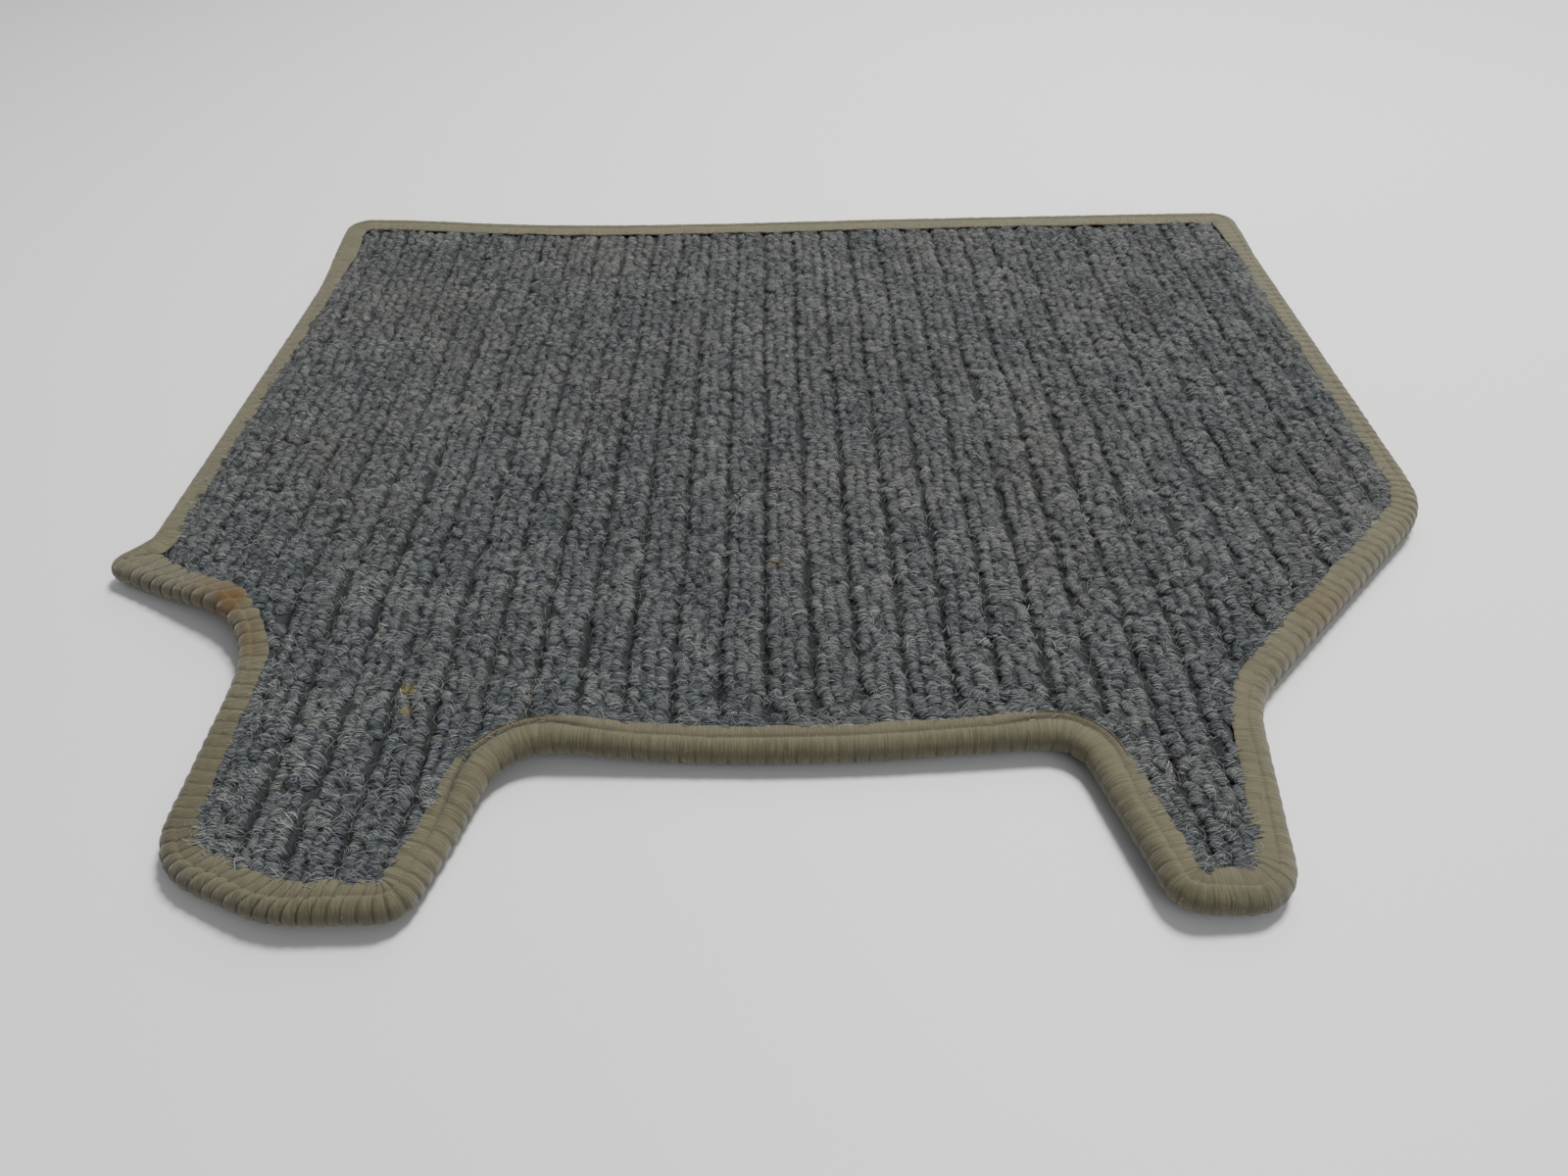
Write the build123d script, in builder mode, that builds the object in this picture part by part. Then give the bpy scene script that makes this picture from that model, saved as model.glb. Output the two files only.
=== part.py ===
from build123d import *
import os

# Shaped carpet mat for a vehicle footwell, lying face up.
# +X runs to the right, +Y to the back and +Z up. The origin is on the floor,
# under the middle of the mat's box. All sizes are in millimetres.

# Finished outline: each corner of the bound edge, with the radius it is rounded to,
# taken round from the back left.
OUTLINE_CORNERS = [
    (-222.0, 216.5, 13.0),  # back left
    (236.5, 199.5, 11.0),  # back right, further forward
    (231.0, -52.5, 38.0),  # right shoulder
    (143.0, -143.5, 38.0),  # hollow where the right leg starts
    (132.5, -216.0, 16.0),  # right leg, outer tip
    (100.0, -216.0, 10.5),  # right leg, inner tip
    (86.5, -158.5, 10.0),  # bay, right-hand hollow
    (2.5, -162.5, 600.0),  # front of the bay, slightly bowed
    (-79.5, -156.0, 18.0),  # bay, left-hand hollow
    (-96.5, -213.5, 11.0),  # left leg, inner tip
    (-133.5, -213.5, 40.0),  # left leg, front
    (-171.5, -194.5, 24.0),  # left leg, outer tip
    (-171.5, -101.0, 37.0),  # hollow under the ear
    (-239.3, -64.0, 5.5),  # point of the ear
    (-227.0, -49.0, 8.0),  # top of the ear
]

# Bound edge
EDGE_HEIGHT = 9.0  # over the tape
EDGE_ROLL = 4.4  # radius of the rolled rim, above and below
BINDING_WIDTH = 10.0  # from the rim to the free edge of the tape, above and below
TAPE_THICKNESS = 0.9
SEAM_INSET = 5.2  # from the rim to the middle of the stitch line
THREAD = 0.5  # sewing thread, which lies in a crease of the same size

# Layers of the carpet
BACKING_TOP = 2.8  # top of the foamed rubber pad
CLOTH_TOP = 3.6  # top of the woven cloth that anchors the pile
GROOVE_HEIGHT = 7.0  # bottom of the grooves between the ribs
CREST_HEIGHT = 10.0  # crests of the ribs

# Ribs, which run from front to back
RIB_PITCH = 14.25
GROOVE_AT = -3.2  # the groove nearest the middle of the mat
RIBS_EACH_SIDE = 17

# Clearance that cutting tools reach past the mat
REACH = 20.0


def mat_sketch(inset, height):
    """The mat's outline, drawn in by an inset, on a level plane."""
    corners = [(x, y) for x, y, radius in OUTLINE_CORNERS]
    radii = [radius for x, y, radius in OUTLINE_CORNERS]
    with BuildSketch(Plane.XY.offset(height)) as outline:
        with BuildLine():
            FilletPolyline(*corners, radius=radii, close=True)
        make_face()
        if inset > 0:
            offset(amount=-inset)
    return outline.sketch


def rolled_slab(inset, bottom, top, roll):
    """A slab of the mat's outline whose rim is rounded over above and below."""
    with BuildPart() as slab:
        extrude(mat_sketch(inset, bottom), amount=top - bottom)
        levels = slab.edges().group_by(Axis.Z)
        fillet(levels[0] + levels[-1], radius=roll)
    return slab.part


def seam_ring(bottom):
    """A closed ring of sewing thread along the stitch line."""
    with BuildPart() as ring:
        extrude(mat_sketch(SEAM_INSET - THREAD / 2, bottom), amount=THREAD)
        inside = mat_sketch(SEAM_INSET + THREAD / 2, bottom)
        extrude(inside, amount=THREAD, mode=Mode.SUBTRACT)
    return ring.part


def ribbed_field():
    """The open part of the pile, inside the tape: rounded ribs side by side."""
    with BuildPart() as field:
        with BuildSketch(Plane.XZ):
            with BuildLine():
                for rib in range(-RIBS_EACH_SIDE, RIBS_EACH_SIDE):
                    left = GROOVE_AT + rib * RIB_PITCH
                    ThreePointArc(
                        (left, GROOVE_HEIGHT),
                        (left + RIB_PITCH / 2, CREST_HEIGHT),
                        (left + RIB_PITCH, GROOVE_HEIGHT),
                    )
                first = GROOVE_AT - RIBS_EACH_SIDE * RIB_PITCH
                last = GROOVE_AT + RIBS_EACH_SIDE * RIB_PITCH
                Polyline(
                    (last, GROOVE_HEIGHT),
                    (last, CLOTH_TOP),
                    (first, CLOTH_TOP),
                    (first, GROOVE_HEIGHT),
                )
            make_face()
        extrude(amount=MAT_DEPTH / 2 + REACH, both=True)
        opening = mat_sketch(BINDING_WIDTH, 0)
        extrude(opening, amount=CREST_HEIGHT + REACH, mode=Mode.INTERSECT)
    return field.part


MAT_DEPTH = mat_sketch(0, 0).bounding_box().size.Y

# Shapes that more than one piece is cut from
edge_outside = rolled_slab(0, 0, EDGE_HEIGHT, EDGE_ROLL)
edge_inside = rolled_slab(
    TAPE_THICKNESS,
    TAPE_THICKNESS,
    EDGE_HEIGHT - TAPE_THICKNESS,
    EDGE_ROLL - TAPE_THICKNESS,
)
upper_thread = seam_ring(EDGE_HEIGHT - THREAD)
lower_thread = seam_ring(0)
pile_field = ribbed_field()
inner_sketch = mat_sketch(BINDING_WIDTH, 0)

# Binding: one strip of ribbed tape folded round the rim, so its section is a C.
# It is creased along the seam, above and below.
with BuildPart() as binding_tape:
    add(edge_outside)
    add(edge_inside, mode=Mode.SUBTRACT)
    extrude(inner_sketch, amount=EDGE_HEIGHT, mode=Mode.SUBTRACT)
    add(upper_thread, mode=Mode.SUBTRACT)
    add(lower_thread, mode=Mode.SUBTRACT)

# Foamed rubber pad: flat on the floor inside the tape, stepped up under its lower flange.
with BuildPart() as rubber_backing:
    add(edge_inside)
    split(bisect_by=Plane.XY.offset(BACKING_TOP), keep=Keep.BOTTOM)
    extrude(inner_sketch, amount=BACKING_TOP)

# Woven cloth between the pad and the pile, out to the fold of the tape.
with BuildPart() as primary_backing:
    add(edge_inside)
    split(bisect_by=Plane.XY.offset(CLOTH_TOP), keep=Keep.BOTTOM)
    split(bisect_by=Plane.XY.offset(BACKING_TOP), keep=Keep.TOP)

# Pile: ribbed in the open field and pressed flat under the upper flange of the tape.
with BuildPart() as carpet_pile:
    add(edge_inside)
    split(bisect_by=Plane.XY.offset(CLOTH_TOP), keep=Keep.TOP)
    extrude(inner_sketch, amount=EDGE_HEIGHT, mode=Mode.SUBTRACT)
    add(pile_field)

# Upper and lower threads of the lockstitch seam that holds the tape.
with BuildPart() as needle_thread:
    add(upper_thread)

with BuildPart() as bobbin_thread:
    add(lower_thread)

carpet_pile.part.label = "carpet_pile"
primary_backing.part.label = "primary_backing"
rubber_backing.part.label = "rubber_backing"
binding_tape.part.label = "binding_tape"
needle_thread.part.label = "needle_thread"
bobbin_thread.part.label = "bobbin_thread"

export_step(carpet_pile.part, "parts/carpet_pile.step")
export_step(primary_backing.part, "parts/primary_backing.step")
export_step(rubber_backing.part, "parts/rubber_backing.step")
export_step(binding_tape.part, "parts/binding_tape.step")
export_step(needle_thread.part, "parts/needle_thread.step")
export_step(bobbin_thread.part, "parts/bobbin_thread.step")

mat_box = binding_tape.part.bounding_box()
print("mat:", mat_box.min, mat_box.max, mat_box.center())
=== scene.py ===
import math

import bmesh
import bpy
import numpy as np
from mathutils import Euler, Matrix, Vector


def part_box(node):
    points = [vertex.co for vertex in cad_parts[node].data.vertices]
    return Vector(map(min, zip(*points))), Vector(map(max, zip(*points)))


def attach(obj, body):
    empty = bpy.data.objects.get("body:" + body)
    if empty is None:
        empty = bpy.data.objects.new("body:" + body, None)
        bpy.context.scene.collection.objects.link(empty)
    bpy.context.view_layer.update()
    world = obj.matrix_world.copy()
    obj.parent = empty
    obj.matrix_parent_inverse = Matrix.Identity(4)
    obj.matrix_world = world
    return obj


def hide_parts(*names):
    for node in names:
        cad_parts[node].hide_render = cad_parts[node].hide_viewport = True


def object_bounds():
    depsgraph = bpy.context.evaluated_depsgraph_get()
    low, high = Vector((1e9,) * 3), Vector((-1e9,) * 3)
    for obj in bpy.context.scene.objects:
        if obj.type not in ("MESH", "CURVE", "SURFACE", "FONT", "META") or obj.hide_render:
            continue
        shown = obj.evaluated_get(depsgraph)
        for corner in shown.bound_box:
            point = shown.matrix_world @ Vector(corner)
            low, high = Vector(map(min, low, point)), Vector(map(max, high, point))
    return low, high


# A shaped carpet mat: ribbed curly pile, woven cloth and a foamed rubber pad, bound all
# round with a folded, stitched tape. Shapes are worked out in millimetres, in the frame
# of the CAD model, and turned into metres when a mesh is made.

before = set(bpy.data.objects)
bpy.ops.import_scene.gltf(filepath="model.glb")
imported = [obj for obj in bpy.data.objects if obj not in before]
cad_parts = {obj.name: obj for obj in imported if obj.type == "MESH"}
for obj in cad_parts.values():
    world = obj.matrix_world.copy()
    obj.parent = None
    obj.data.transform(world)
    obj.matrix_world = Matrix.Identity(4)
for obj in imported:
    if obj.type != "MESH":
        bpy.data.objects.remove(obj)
cad_low, cad_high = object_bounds()
MM = 0.001
rng = np.random.default_rng(11)

# ---- sizes, mm
# Levels of the flat mat
TAPE_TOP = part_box("binding_tape")[1].z / MM
PAD_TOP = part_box("rubber_backing")[1].z / MM
CLOTH_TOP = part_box("primary_backing")[1].z / MM

# Ribs of the pile
RIB_PITCH = 14.25
GROOVE_AT = -3.2
RIB_WANDER = 0.8
GROOVE_FLOOR = 5.7
RIB_FLOOR = 8.4

# Layers: steps of their grids, and how far in from the rim they end
FELT_STEPS = (RIB_PITCH / 12, 3.0)
FELT_INSET = 5.0
CLOTH_STEP = 4.0
UNDER_INSET = 3.0
CLOTH_WEAVE = 1.6
WAFFLE_PITCH = 5.7  # waffle pattern under the rubber pad
WAFFLE_DEPTH = 0.6
PAD_STEP = WAFFLE_PITCH / 3

# Tufts that stand on the ribs, side by side in lanes. A tuft is a rounded body of packed
# plies, wrapped in locks, and a lock is a few yarns that arch over the body together.
LANES = (-4.0, 0.0, 4.0)
TUFT_PITCH = 4.7
TUFT_LENGTH = 5.9
EDGE_TUFT_PITCH = 2.4
TUFTS_PER_PIECE = 2300
BODY_FILL = 0.85
LOCKS_PER_TUFT = 7
YARNS_PER_LOCK = 2
YARN_RADIUS = 0.11
YARN_ARCH = 2.3
YARN_SQUAT = (0.65, 0.95)
YARN_TAPER = (0.7, 1.0, 1.0, 1.0, 0.7)
YARN_RINGS = len(YARN_TAPER)
OWN_COLOUR = 0.75  # share of the yarns that are dyed apart from their lock
SPLAY = 0.06
YARNS_PER_PIECE = 6000

# Loose fibres on the pile
FIBRE_SIDES = 3
RINGLETS = 7000
RINGLET_RINGS = 10
RINGLET_RADIUS = 0.065
RINGLET_SIZE = (0.8, 2.0)
STRAY_HAIRS = 9000
HAIR_RINGS = 9
HAIR_RADIUS = 0.045
HAIR_TIP = 0.03
HAIR_LENGTH = (4.0, 10.0)
HAIR_RISE = (0.8, 2.0)
HAIRS_PER_PIECE = 3000

# Binding tape
SEAM_INSET = 5.3
FLANGE_INSET = 10.0
EAR_MIDDLE = (-231.0, -60.0)
EAR_WIDER = 5.5
EAR_REACH = 18.0
BACK_WIDER = 1.8
BACK_RISE = 1.6
TAPE_THICK = 0.9
ROLL_RADIUS = TAPE_TOP / 2
PLEAT_PITCH = 4.5
EAR_PLEAT_PITCH = 5.6
LEG_PLEAT_PITCH = 4.3
NARROW_CREASE = 0.55
# Width of the broad band of painted shade beside the seam in the bay
BROAD_CREASE_SHADE = 1.3
LEAST_ROOM = 4.0
PATH_STEP = 0.44
STITCH_PITCH = 4.2
STITCH_LENGTH = 2.9
STITCH_RADIUS = 0.2
STITCH_TAPER = (0.6, 0.95, 1.0, 1.0, 0.95, 0.6)
STITCH_SIDES = 6
FUZZ_HAIRS = 5000
FUZZ_RINGS = 5
FUZZ_RADIUS = 0.035
FUZZ_LENGTH = (0.6, 2.6)

# Points of the tape's section, counted from the free edge below round to the one above
ROLL_POINTS = 14
FIRST_FUZZY = 7
BOW_FROM = 9
LAST_OUTSIDE = 25


# ---- small tools
def smoothstep(low, high, value):
    t = np.clip((value - low) / (high - low), 0.0, 1.0)
    return t * t * (3.0 - 2.0 * t)


def unit(vectors):
    """Vectors of the same directions, each one long."""
    return vectors / np.linalg.norm(vectors, axis=-1)[..., None]


def lengths_along(points):
    """How far along a line each of its points is."""
    steps = np.linalg.norm(np.diff(points, axis=0), axis=1)
    return np.concatenate([[0], np.cumsum(steps)])


def ranked(values):
    """Each value's rank, from 0 up to nearly 1."""
    return np.argsort(np.argsort(values)) / len(values)


def between(table, i, j, u, v):
    """A table's values at i + u and j + v, which wrap round past its last cell."""
    i1, j1 = (i + 1) % table.shape[0], (j + 1) % table.shape[1]
    low = table[i, j] * (1 - u) + table[i1, j] * u
    high = table[i, j1] * (1 - u) + table[i1, j1] * u
    return low * (1 - v) + high * v


NOISE_CELLS = 256
noise_table = rng.random((NOISE_CELLS, NOISE_CELLS))


def noise(x, y, size, layer=0):
    """Smooth noise from 0 to 1 with lumps about size across. Each layer differs."""
    u = np.asarray(x, float) / size + 17.3 * layer + 40.0
    v = np.asarray(y, float) / size + 29.1 * layer + 70.0
    i, j = np.floor(u).astype(int), np.floor(v).astype(int)
    u, v = u - i, v - j
    u, v = u * u * (3.0 - 2.0 * u), v * v * (3.0 - 2.0 * v)
    return between(noise_table, i % NOISE_CELLS, j % NOISE_CELLS, u, v)


def smooth_loop(values, reach):
    """Values round a closed loop, averaged with a bell curve reach samples wide."""
    count = int(4 * reach) + 1
    weights = np.exp(-0.5 * (np.arange(-count, count + 1) / reach) ** 2)
    weights /= weights.sum()
    padded = np.concatenate([values[-count:], values, values[:count]])
    if padded.ndim == 1:
        return np.convolve(padded, weights, "valid")
    return np.column_stack([np.convolve(c, weights, "valid") for c in padded.T])


def add_object(name, data):
    """Puts a mesh, a light or a camera in the scene."""
    thing = bpy.data.objects.new(name, data)
    bpy.context.scene.collection.objects.link(thing)
    return thing


def build_mesh(name, points, *face_groups):
    """An object from points in millimetres and arrays of faces, each array of one size."""
    mesh = bpy.data.meshes.new(name)
    mesh.vertices.add(len(points))
    mesh.vertices.foreach_set("co", (points * MM).astype(np.float32).ravel())
    corners = np.concatenate([group.ravel() for group in face_groups])
    sizes = np.concatenate([np.full(len(group), group.shape[1]) for group in face_groups])
    mesh.loops.add(len(corners))
    mesh.loops.foreach_set("vertex_index", corners.astype(np.int32))
    mesh.polygons.add(len(sizes))
    mesh.polygons.foreach_set("loop_start", (np.cumsum(sizes) - sizes).astype(np.int32))
    mesh.update(calc_edges=True)
    mesh.shade_smooth()
    return add_object(name, mesh)


def grid_walls(starts, rows, columns, closed=True):
    """Quads between neighbouring rows of points, in grids that start at the given points."""
    one = np.arange(columns if closed else columns - 1)
    two = (one + 1) % columns
    row = np.asarray(starts)[:, None, None] + (np.arange(rows - 1) * columns)[None, :, None]
    return np.stack([row + one, row + two, row + columns + two, row + columns + one], -1)


def add_attribute(piece, name, kind, values):
    """Stores a value or a vector at each point of a piece, for its material to read."""
    shade = piece.data.attributes.new(name, kind, "POINT")
    field = "value" if kind == "FLOAT" else "vector"
    shade.data.foreach_set(field, values.astype(np.float32).ravel())


def finish_piece(piece, material, slot, *nodes):
    """Gives a piece its material and its body, and hides the CAD nodes it stands for. slot is not
    used.
    """
    piece.data.materials.append(material)
    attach(piece, "root")
    if nodes:
        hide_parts(*nodes)
    return piece


# ---- outline
def loop_area(loop):
    """Area inside a closed loop, below zero where the loop runs clockwise."""
    x, y = loop[:, 0], loop[:, 1]
    return 0.5 * np.sum(x * np.roll(y, -1) - y * np.roll(x, -1))


def cut_outline(node, height):
    """The outer loop of a CAD node where a level plane cuts it, anticlockwise, in mm."""
    bm = bmesh.new()
    bm.from_mesh(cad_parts[node].data)
    bmesh.ops.remove_doubles(bm, verts=bm.verts, dist=1e-6)
    everything = bm.verts[:] + bm.edges[:] + bm.faces[:]
    cut = bmesh.ops.bisect_plane(
        bm, geom=everything, plane_co=(0, 0, height * MM), plane_no=(0, 0, 1)
    )
    links = {}
    for edge in cut["geom_cut"]:
        if isinstance(edge, bmesh.types.BMEdge):
            a, b = edge.verts
            links.setdefault(a, []).append(b)
            links.setdefault(b, []).append(a)
    loops = []
    while links:
        here = next(iter(links))
        loop = []
        while here in links:
            loop.append((here.co.x / MM, here.co.y / MM))
            ahead = [v for v in links.pop(here) if v in links]
            here = ahead[0] if ahead else None
        loops.append(np.array(loop))
    bm.free()

    outer = max(loops, key=lambda loop: abs(loop_area(loop)))
    outer = outer if loop_area(outer) > 0 else outer[::-1]
    return np.roll(outer, -int(np.argmax(outer[:, 1] - outer[:, 0])), axis=0)


def resample(loop, step):
    """Evenly spaced points round a closed loop, and the loop's length."""
    closed = np.vstack([loop, loop[:1]])
    along = lengths_along(closed)
    places = np.linspace(0, along[-1], int(round(along[-1] / step)), endpoint=False)
    even = [np.interp(places, along, closed[:, axis]) for axis in (0, 1)]
    return np.column_stack(even), along[-1]


rim, rim_length = resample(cut_outline("binding_tape", ROLL_RADIUS), PATH_STEP)
rim = smooth_loop(rim, 1.6 / PATH_STEP)
tangent = np.roll(rim, -1, 0) - np.roll(rim, 1, 0)
tangent = unit(smooth_loop(tangent, 1.5 / PATH_STEP))
inward = np.column_stack([-tangent[:, 1], tangent[:, 0]])
turn = np.roll(tangent, -1, 0) - np.roll(tangent, 1, 0)
curvature = smooth_loop((turn * inward).sum(1) / (2 * PATH_STEP), 2.5 / PATH_STEP)
rim_place = np.arange(len(rim)) * rim_length / len(rim)


def disc_room():
    """For each rim point, the largest disc inside the mat that touches the rim there."""
    others = rim[::5]
    room = np.empty(len(rim))
    for start in range(0, len(rim), 500):
        here = slice(start, start + 500)
        gap = others[None] - rim[here, None]
        across = (gap * inward[here, None]).sum(2)
        square = (gap**2).sum(2)
        radius = np.where((across > 1e-3) & (square > 4.0), square / (2 * across + 1e-9), 1e3)
        room[here] = radius.min(1)
    return smooth_loop(np.minimum(room, 60.0), 2.0 / PATH_STEP)


room = disc_room()

# The distance in from the rim, on a grid that the functions below read
FIELD_STEP = 1.5
FIELD_MARGIN = 8.0
field_low = rim.min(0) - FIELD_MARGIN
field_size = np.ceil((rim.max(0) + FIELD_MARGIN - field_low) / FIELD_STEP).astype(int) + 1


def rim_distances():
    """Signed distance in from the rim at each grid point, negative outside the mat."""
    xs = field_low[0] + FIELD_STEP * np.arange(field_size[0])
    ys = field_low[1] + FIELD_STEP * np.arange(field_size[1])
    sparse = rim[::3]
    ahead = np.roll(rim, -1, 0)
    field = np.empty((len(xs), len(ys)))
    for column, x in enumerate(xs):
        square = (sparse[:, 0] - x) ** 2 + (ys[:, None] - sparse[:, 1]) ** 2
        crossing = (rim[:, 0] > x) != (ahead[:, 0] > x)
        a, b = rim[crossing], ahead[crossing]
        at = np.sort(a[:, 1] + (x - a[:, 0]) * (b[:, 1] - a[:, 1]) / (b[:, 0] - a[:, 0]))
        inside = np.searchsorted(at, ys) % 2 == 1
        field[column] = np.sqrt(square.min(1)) * np.where(inside, 1.0, -1.0)
    return field


rim_field = rim_distances()


def inset_at(x, y):
    """How far in from the rim a place is."""
    u = np.clip((np.asarray(x) - field_low[0]) / FIELD_STEP, 0, field_size[0] - 1.001)
    v = np.clip((np.asarray(y) - field_low[1]) / FIELD_STEP, 0, field_size[1] - 1.001)
    i, j = u.astype(int), v.astype(int)
    return between(rim_field, i, j, u - i, v - j)


def near_back(y):
    """1 at the back of the mat and 0 further forward."""
    return smoothstep(150.0, 182.0, np.asarray(y))


def wider_flange(x, y):
    """How much wider the tape's flange is inside the ear and at the back than elsewhere."""
    square = (np.asarray(x) - EAR_MIDDLE[0]) ** 2 + (np.asarray(y) - EAR_MIDDLE[1]) ** 2
    return EAR_WIDER * np.exp(-square / EAR_REACH**2) + BACK_WIDER * near_back(y)


# ---- how the mat lies
# Places where the mat stands off the floor: x, y, reach in x, reach in y, height
LIFTED = [
    (-218.0, 212.0, 80.0, 34.0, 5.6),  # back left corner, curled up
    (-180.0, -88.0, 30.0, 24.0, 5.4),  # hollow under the ear
    (-68.0, -158.0, 30.0, 20.0, 3.4),  # front of the bay, left
    (66.0, -160.0, 28.0, 20.0, 1.0),  # front of the bay, right
    (0.0, -164.0, 50.0, 20.0, 0.6),  # front of the bay, middle
    (102.0, -200.0, 16.0, 28.0, 2.0),  # inner side of the right leg
    (-120.0, -214.0, 40.0, 16.0, 1.4),  # front of the left leg
]


def lift(x, y):
    """Height of the mat's underside off the floor."""
    height = 0.9 * noise(x, y, 110.0, 1) * smoothstep(90.0, 10.0, inset_at(x, y))
    for spot_x, spot_y, reach_x, reach_y, rise in LIFTED:
        height = height + rise * np.exp(
            -(((x - spot_x) / reach_x) ** 2) - ((y - spot_y) / reach_y) ** 2
        )
    return height + BACK_RISE * near_back(y) * smoothstep(12.0, 1.0, inset_at(x, y))


def raised(points):
    """Points of the flat mat, moved up to how the mat lies."""
    moved = np.array(points, float)
    moved[..., 2] += lift(moved[..., 0], moved[..., 1])
    return moved


# ---- layers
def rib_wander(x, y):
    """How far a rib strays to the left of its straight line."""
    return RIB_WANDER * (2.0 * noise(x, y, 38.0, 2) - 1.0)


def trodden(x, y):
    """How trodden down the pile is: hardly at the front, and most at the back and right."""
    return np.maximum(smoothstep(-90.0, 120.0, y), smoothstep(70.0, 180.0, x))


def back_edge(x, y):
    """1 along the back of the mat, beside the tape, where the pile lies below the tape."""
    patches = 0.3 + 0.7 * smoothstep(0.3, 0.6, noise(x, y, 24.0, 15))
    return patches * smoothstep(27.0, 13.0, inset_at(x, y)) * near_back(y)


def rib_height(x, y):
    """0 along a groove of the pile and 1 along the crest of a rib."""
    place = (x + rib_wander(x, y) - GROOVE_AT) / RIB_PITCH
    across = np.abs(2.0 * np.mod(place, 1.0) - 1.0)
    rounded = (1.0 - np.minimum(across, 1.0) ** 3.2) ** 0.6
    depth = (0.8 + 0.3 * noise(x, y, 22.0, 3)) * (1.0 - 0.25 * trodden(x, y))
    return 1.0 - np.minimum(depth, 1.0) * (1.0 - rounded)


def pile_floor(x, y):
    """Height of the matted fibre that the yarn stands on."""
    ribs = GROOVE_FLOOR + (RIB_FLOOR - GROOVE_FLOOR) * rib_height(x, y)
    ribs = ribs + 0.5 * (noise(x, y, 3.4, 4) - 0.5) + 0.8 * (noise(x, y, 9.0, 5) - 0.5)
    ribs = ribs - 0.7 * back_edge(x, y)
    pressed = TAPE_TOP - 2 * TAPE_THICK - 0.45 * back_edge(x, y)
    open_pile = smoothstep(FLANGE_INSET + 0.3, FLANGE_INSET + 3.5, inset_at(x, y))
    return pressed + (ribs - pressed) * open_pile


def pad_bottom(x, y):
    """Underside of the rubber pad: a shallow waffle, stepped up over the tape's flange."""
    waffle = np.sin(math.pi * x / WAFFLE_PITCH) ** 2 * np.sin(math.pi * y / WAFFLE_PITCH) ** 2
    inside = smoothstep(FLANGE_INSET - 0.5, FLANGE_INSET + 2.5, inset_at(x, y))
    return TAPE_THICK + 0.1 + (WAFFLE_DEPTH * waffle - TAPE_THICK - 0.1) * inside


def layer(name, step_x, step_y, least_inset, bottom, top):
    """A closed layer of the mat on a grid, between two heights or height functions."""
    xs = np.arange(rim[:, 0].min(), rim[:, 0].max() + step_x, step_x)
    ys = np.arange(rim[:, 1].min(), rim[:, 1].max() + step_y, step_y)
    x, y = np.meshgrid(xs, ys, indexing="ij")
    inside = inset_at(x, y) > least_inset
    low, high = slice(None, -1), slice(1, None)
    corners = [(low, low), (high, low), (high, high), (low, high)]
    cell = np.all([inside[corner] for corner in corners], axis=0)
    used = np.zeros(x.shape, bool)
    for corner in corners:
        used[corner] |= cell
    number = np.full(x.shape, -1)
    count = used.sum()
    number[used] = np.arange(count)
    x, y = x[used], y[used]
    levels = []
    for level in (bottom, top):
        height = level(x, y) if callable(level) else np.full(count, level)
        levels.append(np.column_stack([x, y, height]))
    quads = np.stack([number[corner][cell] for corner in corners], 1)
    edges = np.concatenate([quads[:, [k, (k + 1) % 4]] for k in range(4)])
    key = edges.min(1) * count + edges.max(1)
    order, uses = np.unique(key, return_counts=True)
    border = edges[np.isin(key, order[uses == 1])]
    walls = np.column_stack([border, border[:, ::-1] + count])
    points = raised(np.vstack(levels))
    return build_mesh(name, points, quads[:, ::-1], quads + count, walls)


# ---- yarn
def tubes(name, paths, radii, sideways, sides):
    """Closed tubes along paths of shape (tubes, rings, 3). sideways is across each path."""
    count, rings = paths.shape[:2]
    radii = np.broadcast_to(radii, (count, rings))
    ahead = unit(np.gradient(paths, axis=1))
    up = unit(np.cross(ahead, sideways))
    across = np.cross(up, ahead)
    angles = np.arange(sides) * 2 * math.pi / sides
    ring = (
        np.cos(angles)[:, None] * across[:, :, None] + np.sin(angles)[:, None] * up[:, :, None]
    )
    points = paths[:, :, None] + ring * radii[:, :, None, None]
    start = np.arange(count) * rings * sides
    walls = grid_walls(start, rings, sides)
    head = start[:, None] + np.arange(sides)[::-1]
    tail = start[:, None] + (rings - 1) * sides + np.arange(sides)
    caps = np.concatenate([head, tail])
    return build_mesh(name, points.reshape(-1, 3), walls.reshape(-1, 4), caps)


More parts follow.
